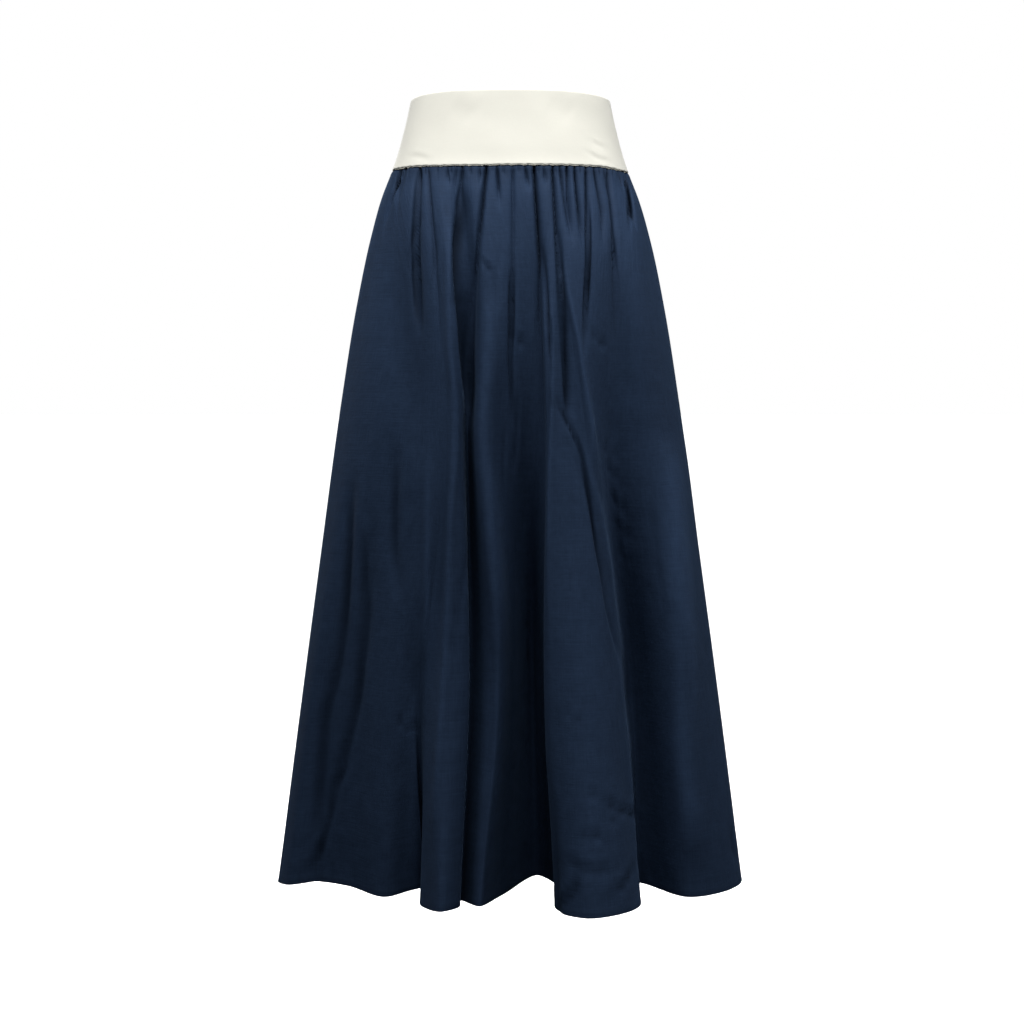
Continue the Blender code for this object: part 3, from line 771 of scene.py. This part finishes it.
def tuck_height(tucks, surface, outside):
    """Height of the tucks at these points, outward, from the sideways distance to each one's line."""
    x, z = surface[:, 0], surface[:, 2]
    height = np.zeros(len(x))
    for row in tucks:
        tuck = Tuck(*row)
        points = np.array(tuck.points[::-1]) * MM
        at = np.clip(z, points[0, 1], points[-1, 1])
        line_x, depth = curve_through(points[:, 1], points[:, ::2], at).T
        width = np.where(x < line_x, tuck.left, tuck.right) * MM
        if not outside:
            width = width + INNER_SPREAD * (depth > 0)
            depth = np.maximum(depth, INNER_RIDGE * depth)
        height -= depth * np.exp(-(((x - line_x) / width) ** 2))
    return height


def painted_fold_shade(creases, tucks):
    """The painted shade that the small folds leave in the cloth's colour: above 0 in troughs, painted darker,
    below 0 on ridges, painted lighter.
    """
    return CREASE_PAINTED_SHADE * -creases - tucks


def edge_rise(table, x):
    """How far an edge stands above its even curve."""
    places, rises = np.array(table).T * MM
    return np.interp(x, places, rises)


def seam_scallops(place):
    """How far the waistband's lower edge rises and falls over the gathers."""
    turn = 2 * np.pi * place
    return SCALLOP_HEIGHT * (np.sin(31 * turn) + 0.6 * np.sin(47 * turn + 1.3) + 0.5 * np.sin(71 * turn + 0.4))


def side_groove(share, width):
    """The shallow groove along a pressed side seam."""
    from_seam = np.minimum(share, 1 - share) * width
    return -SIDE_GROOVE * np.exp(-((from_seam / SIDE_GROOVE_WIDTH) ** 2))


def skirt_surface(place, down):
    """The skirt's surface, its top edge following the waistband's scallops."""
    surface = skirt_line(place, down)
    drop = down * SKIRT_LENGTH
    surface[:, 2] += seam_scallops(place) * (1 - ease(drop / SCALLOP_REACH))
    surface[:, 2] += edge_rise(SEAM_EDGE, surface[:, 0]) * (1 - ease(drop / SEAM_EDGE_REACH))
    surface[:, 2] -= HEM_DROP * ease(5 * down - 4)
    return surface


def band_surface(place, down):
    """The waistband's surface, its lower edge a little scalloped by the gathers."""
    surface = band_line(place, down)
    surface[:, 2] += seam_scallops(place) * ease((down - 0.93) / 0.07)
    surface[:, 2] += edge_rise(SEAM_EDGE, surface[:, 0]) * ease(2 * down - 1)
    surface[:, 2] += edge_rise(TOP_EDGE, surface[:, 0]) * ease(1 - 2 * down)
    return surface


def skirt_relief(front):
    """A function for the panel's small forms: their height outward, and the painted shade and highlight they
    leave in the cloth's colour.
    """
    creases = FRONT_CREASES if front else BACK_CREASES
    tucks = FRONT_TUCKS if front else BACK_TUCKS

    def relief(share, down, surface, inset):
        tucked = -SEAM_TUCK * (1 - ease(down * SKIRT_LENGTH / SEAM_TUCK_REACH))
        from_hem = (1 - down) * SKIRT_LENGTH
        hem_roll = HEM_ROLL * np.exp(-((from_hem / HEM_ROLL_REACH) ** 2))
        hem_edge = HEM_TURN_RIDGE * np.exp(-(((from_hem - HEM_TURN) / HEM_TURN_WIDTH) ** 2))
        creased = crease_height(creases, surface)
        folded = tuck_height(tucks, surface, inset < SKIRT_WALL / 2)
        height = creased + folded + side_groove(share, 0.4) + tucked + hem_roll + hem_edge
        return height, painted_fold_shade(creased, folded)

    return relief


def band_relief(front):
    """The same for the waistband, which is only a little uneven."""
    phase = 0.0 if front else 2.1

    def relief(share, down, surface, inset):
        wide = 0.30 * np.sin(9.0 * share + phase + 2.0 * down)
        soft = wide + 0.22 * np.sin(23.0 * share - 3.0 * down + phase)
        height = MM * soft * np.sin(np.pi * down) + side_groove(share, 0.36)
        creased = crease_height(BAND_CREASES, surface) if front else np.zeros(len(surface))
        return height + creased, painted_fold_shade(creased, 0.0)

    return relief


# ---- materials ----
def new_material(name):
    """A material with its nodes and links."""
    material = bpy.data.materials.new(name)
    material.use_nodes = True
    return material, material.node_tree.nodes, material.node_tree.links


def plain_material(name, color, roughness):
    material, nodes, _ = new_material(name)
    shader = nodes["Principled BSDF"]
    shader.inputs["Base Color"].default_value = color
    shader.inputs["Roughness"].default_value = roughness
    return material


def noise(nodes, links, coordinates, scale, detail, name):
    """A noise pattern, `scale` features for each metre of the flat cloth across and down."""
    stretch = nodes.new("ShaderNodeMapping")
    stretch.inputs["Scale"].default_value = (scale[0], scale[1], 1.0)
    pattern = nodes.new("ShaderNodeTexNoise")
    pattern.label = name
    pattern.noise_dimensions = "2D"
    pattern.inputs["Scale"].default_value = 1.0
    pattern.inputs["Detail"].default_value = detail
    pattern.inputs["Roughness"].default_value = 0.55
    links.new(coordinates, stretch.inputs["Vector"])
    links.new(stretch.outputs["Vector"], pattern.inputs["Vector"])
    return pattern.outputs["Fac"]


def maths(nodes, links, operation, first, second):
    """One arithmetic node; each input is a socket or a number."""
    node = nodes.new("ShaderNodeMath")
    node.operation = operation
    for socket, value in zip(node.inputs, (first, second)):
        if isinstance(value, (int, float)):
            socket.default_value = value
        else:
            links.new(value, socket)
    return node.outputs["Value"]


def weighted_sum(nodes, links, terms, start):
    """start + the sum of weight * (pattern - 0.5)."""
    total = start
    for pattern, weight in terms:
        centred = maths(nodes, links, "SUBTRACT", pattern, 0.5)
        total = maths(nodes, links, "ADD", maths(nodes, links, "MULTIPLY", centred, weight), total)
    return total


def ramp(nodes, links, value, low, high, out_low, out_high):
    """A smooth step from out_low to out_high."""
    node = nodes.new("ShaderNodeMapRange")
    node.interpolation_type = "SMOOTHSTEP"
    for name, number in (
        ("From Min", low), ("From Max", high), ("To Min", out_low), ("To Max", out_high),
    ):
        node.inputs[name].default_value = number
    links.new(value, node.inputs["Value"])
    return node.outputs["Result"]


def weave(nodes, links, coordinates, threads):
    """A plain weave: over and under at `threads` for each metre, both ways."""
    parts = nodes.new("ShaderNodeSeparateXYZ")
    links.new(coordinates, parts.inputs["Vector"])
    turns = 2 * np.pi * threads / 2
    across = maths(nodes, links, "SINE", maths(nodes, links, "MULTIPLY", parts.outputs["X"], turns), 0.0)
    down = maths(nodes, links, "SINE", maths(nodes, links, "MULTIPLY", parts.outputs["Y"], turns), 0.0)
    return maths(nodes, links, "MULTIPLY", across, down)


def tinted(nodes, links, color, factor):
    """The colour multiplied by a factor."""
    scale = nodes.new("ShaderNodeVectorMath")
    scale.operation = "SCALE"
    scale.inputs[0].default_value = color[:3]
    links.new(factor, scale.inputs["Scale"])
    return scale.outputs["Vector"]


def raised(nodes, links, shader, height, distance):
    """The pattern as bump, `distance` high."""
    bump = nodes.new("ShaderNodeBump")
    bump.inputs["Strength"].default_value = 1.0
    bump.inputs["Distance"].default_value = distance
    links.new(height, bump.inputs["Height"])
    links.new(bump.outputs["Normal"], shader.inputs["Normal"])


def flat_coordinates(nodes):
    """Metres across and up the flat cut."""
    node = nodes.new("ShaderNodeUVMap")
    node.uv_map = "flat_cut"
    return node.outputs["UV"]


def navy_cloth():
    """Crisp plain-woven cotton: slubbed weft threads that run across, finer warp, a faint sheen; painted shade in
    creases, hollows and under the waistband, painted highlights on fold ridges.
    """
    material, nodes, links = new_material("navy_skirt_cloth")
    shader = nodes["Principled BSDF"]
    cloth = flat_coordinates(nodes)
    slubs = noise(nodes, links, cloth, (13.0, 620.0), 3.0, "slubs in the weft")
    fine_weft = noise(nodes, links, cloth, (60.0, 1500.0), 2.0, "weft threads")
    warp = noise(nodes, links, cloth, (1300.0, 30.0), 2.0, "warp threads")
    mottle = noise(nodes, links, cloth, (9.0, 6.0), 3.0, "uneven dye")
    wear = noise(nodes, links, cloth, (70.0, 45.0), 3.0, "rubbed nap")
    crumple = noise(nodes, links, cloth, (36.0, 26.0), 4.0, "crumpled cloth")
    drawn = noise(nodes, links, cloth, (110.0, 7.0), 2.0, "threads drawn down by the gathers")
    weave_height = weave(nodes, links, cloth, 1600)
    factor = weighted_sum(
        nodes, links,
        ((slubs, 0.26), (fine_weft, 0.3), (warp, 0.34), (mottle, 0.2), (wear, 0.2)), 1.0,
    )
    parts = nodes.new("ShaderNodeSeparateXYZ")
    links.new(cloth, parts.inputs["Vector"])
    up = parts.outputs["Y"]
    # Painted shade under the waistband: the colour falls to near black in the skirt's top 3 mm and is a little
    # darker over its top 32 mm, where shadow falls under the band.
    edge = ramp(nodes, links, up, SKIRT_LENGTH - 3.0 * MM, SKIRT_LENGTH - 0.8 * MM, 1.0, 0.08)
    painted_shade_below_band = ramp(nodes, links, up, SKIRT_LENGTH - 32 * MM, SKIRT_LENGTH, 1.0, 0.78)
    painted_shade_under_band = maths(nodes, links, "MULTIPLY", edge, painted_shade_below_band)
    # Painted shade in creases and hollows: ambient occlusion within 14 mm darkens the colour, as shade deeper
    # than the mesh itself casts.
    creased = nodes.new("ShaderNodeAmbientOcclusion")
    creased.samples = 3
    creased.only_local = True
    creased.inputs["Distance"].default_value = 14 * MM
    depth = ramp(nodes, links, creased.outputs["AO"], 0.25, 0.85, 0.3, 1.0)
    # Painted shade and highlight along the folds: the colour is darkened in tuck and crease troughs by their
    # depth, down to 0.35, and lightened up to 1.5 times on ridges.
    hollow = nodes.new("ShaderNodeAttribute")
    hollow.attribute_name = "hollow"
    trough = ramp(nodes, links, hollow.outputs["Fac"], 0.0, 9.0, 1.0, 0.35)
    ridge = ramp(nodes, links, hollow.outputs["Fac"], -8.0, 0.0, 1.5, 1.0)
    folds = maths(nodes, links, "MULTIPLY", trough, ridge)
    shade = maths(nodes, links, "MULTIPLY", maths(nodes, links, "MULTIPLY", depth, painted_shade_under_band), folds)
    links.new(
        tinted(nodes, links, NAVY, maths(nodes, links, "MULTIPLY", factor, shade)),
        shader.inputs["Base Color"],
    )
    rough = weighted_sum(nodes, links, ((slubs, 0.16), (wear, 0.14)), 0.62)
    links.new(rough, shader.inputs["Roughness"])
    shader.inputs["Specular IOR Level"].default_value = 0.04
    shader.inputs["Sheen Weight"].default_value = 0.05
    shader.inputs["Sheen Roughness"].default_value = 0.35
    shader.inputs["Sheen Tint"].default_value = (0.38, 0.6, 1.0, 1.0)
    height = weighted_sum(
        nodes, links,
        (
            (slubs, 0.6), (fine_weft, 0.5), (warp, 0.5), (weave_height, 0.12), (wear, 1.2), (crumple, 5.0),
            (drawn, 2.0),
        ),
        0.0,
    )
    raised(nodes, links, shader, height, 0.16 * MM)
    return material


def ivory_cloth():
    """A smooth matt ivory cloth with a fine close weave."""
    material, nodes, links = new_material("ivory_band_cloth")
    shader = nodes["Principled BSDF"]
    cloth = flat_coordinates(nodes)
    weft = noise(nodes, links, cloth, (90.0, 1700.0), 2.0, "weft threads")
    warp = noise(nodes, links, cloth, (1700.0, 90.0), 2.0, "warp threads")
    cloud = noise(nodes, links, cloth, (16.0, 24.0), 2.0, "soft unevenness")
    nap = noise(nodes, links, cloth, (380.0, 380.0), 2.0, "nap")
    weave_height = weave(nodes, links, cloth, 2000)
    factor = weighted_sum(nodes, links, ((weft, 0.035), (warp, 0.03), (cloud, 0.05), (nap, 0.02)), 1.0)
    links.new(tinted(nodes, links, IVORY, factor), shader.inputs["Base Color"])
    links.new(weighted_sum(nodes, links, ((nap, 0.12),), 0.78), shader.inputs["Roughness"])
    shader.inputs["Specular IOR Level"].default_value = 0.25
    shader.inputs["Sheen Weight"].default_value = 0.25
    shader.inputs["Sheen Roughness"].default_value = 0.5
    height = weighted_sum(
        nodes, links, ((weft, 0.35), (warp, 0.35), (weave_height, 0.12), (cloud, 0.8), (nap, 0.3)), 0.0,
    )
    raised(nodes, links, shader, height, 0.10 * MM)
    return material


# ---- floor, light and camera ----
FLOOR_Z = -1.25
FLOOR_SIDE = 60.0
CAMERA_PLACE = (0.002, -2.80, -0.3408)
CAMERA_PITCH = 3.228  # degrees down
FOCAL_PIXELS = 2302.5
IMAGE_PIXELS = 1024
SENSOR_WIDTH = 36.0

# Name, place, the point that it faces, width and height, and watts.
LIGHTS = (
    ("key", (0.1, -1.1, 1.6), (0.0, 0.0, -0.3), (0.6, 0.6), 34),
    ("upper right", (0.9, -0.9, 1.5), (0.0, 0.0, -0.3), (0.6, 0.6), 12),
    ("upper left", (-0.9, -0.9, 1.5), (0.0, 0.0, -0.3), (0.6, 0.6), 20.5),
    ("right side", (1.7, -0.3, 0.1), (0.0, 0.0, -0.4), (0.5, 1.4), 4.4),
    ("left edge", (-1.4, 0.6, -0.2), (0.0, 0.0, -0.4), (0.4, 1.6), 2.8),
    ("right edge", (1.4, 0.6, -0.2), (0.0, 0.0, -0.4), (0.4, 1.6), 0.8),
    ("back", (-0.2, 1.5, 1.6), (0.0, 0.0, -0.3), (0.6, 0.6), 48),
)
EVEN_LIGHT = 0.009
BACKGROUND_LIGHT = 1.0


def make_camera():
    """The photo's view."""
    data = bpy.data.cameras.new("camera")
    data.sensor_width = SENSOR_WIDTH
    data.lens = FOCAL_PIXELS * data.sensor_width / IMAGE_PIXELS
    camera = bpy.data.objects.new("camera", data)
    camera.location = CAMERA_PLACE
    camera.rotation_euler = (np.radians(90.0 - CAMERA_PITCH), 0.0, 0.0)
    bpy.context.scene.collection.objects.link(camera)
    bpy.context.scene.camera = camera


def area_light(name, place, target, size, power):
    """A soft light that faces a target."""
    data = bpy.data.lights.new(name, "AREA")
    data.shape = "RECTANGLE"
    data.size, data.size_y = size
    data.energy = power
    light = bpy.data.objects.new(name, data)
    light.location = place
    light.rotation_euler = (Vector(target) - Vector(place)).to_track_quat("-Z", "Y").to_euler()
    bpy.context.scene.collection.objects.link(light)


def make_world(lighting, background):
    """White behind the object, and a weaker even light on it."""
    world = bpy.data.worlds.new("studio")
    world.use_nodes = True
    nodes, links = world.node_tree.nodes, world.node_tree.links
    seen = nodes.new("ShaderNodeBackground")
    seen.inputs["Color"].default_value = (1.0, 1.0, 1.0, 1.0)
    seen.inputs["Strength"].default_value = background
    even = nodes["Background"]
    even.inputs["Color"].default_value = (0.6, 0.85, 1.0, 1.0)
    even.inputs["Strength"].default_value = lighting
    path = nodes.new("ShaderNodeLightPath")
    mix = nodes.new("ShaderNodeMixShader")
    links.new(path.outputs["Is Camera Ray"], mix.inputs["Fac"])
    links.new(even.outputs["Background"], mix.inputs[1])
    links.new(seen.outputs["Background"], mix.inputs[2])
    links.new(mix.outputs["Shader"], nodes["World Output"].inputs["Surface"])
    bpy.context.scene.world = world


def make_studio():
    """Soft lights round the front, one for the back, and a pale floor."""
    make_world(EVEN_LIGHT, BACKGROUND_LIGHT)
    for light in LIGHTS:
        area_light(*light)
    mesh = bpy.data.meshes.new("floor")
    corners = [
        (x * FLOOR_SIDE, y * FLOOR_SIDE, FLOOR_Z) for x, y in ((-1, -1), (1, -1), (1, 1), (-1, 1))
    ]
    mesh.from_pydata(corners, [], [(0, 1, 2, 3)])
    floor = bpy.data.objects.new("floor", mesh)
    mesh.materials.append(plain_material("pale_floor", (0.93, 0.93, 0.93, 1.0), 0.8))
    bpy.context.scene.collection.objects.link(floor)
    floor.visible_diffuse = False
    floor.visible_glossy = False
    light_the_floor(floor)


def light_the_floor(floor):
    """A wide soft light from above that falls on the floor alone, so that it is as pale as the background."""
    only_floor = bpy.data.collections.new("only_floor")
    only_floor.objects.link(floor)
    data = bpy.data.lights.new("floor light", "SUN")
    data.angle = np.radians(80)
    data.energy = 4.6
    light = bpy.data.objects.new("floor light", data)
    bpy.context.scene.collection.objects.link(light)
    light.light_linking.receiver_collection = only_floor


# ---- making it all ----
def dress(front, navy, ivory):
    """One side's skirt panel and waistband, riding in place of their solids."""
    side = "front" if front else "back"
    skirt = build_shell(
        f"skirt_{side}_cloth", skirt_surface, front, profile_of(skirt_rows(), SKIRT_WALL, SKIRT_LENGTH),
        skirt_columns, skirt_relief(front), (PANEL_WIDTH, SKIRT_LENGTH), navy,
    )
    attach(skirt, "root")
    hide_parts(f"skirt_{side}")
    band_rows = list(np.linspace(0, 1, BAND_CLOTH_ROWS + 1))
    band = build_shell(
        f"band_{side}_cloth", band_surface, front, profile_of(band_rows, BAND_WALL, -SEAM_Z),
        lambda down, inset: BAND_CLOTH_COLUMNS, band_relief(front), (BAND_WIDTH, -SEAM_Z), ivory,
    )
    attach(band, "root")
    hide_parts(f"waistband_{side}")


bpy.context.scene.view_settings.view_transform = "Standard"
make_camera()
make_studio()
navy_finish = navy_cloth()
ivory_finish = ivory_cloth()
dress(True, navy_finish, ivory_finish)
dress(False, navy_finish, ivory_finish)
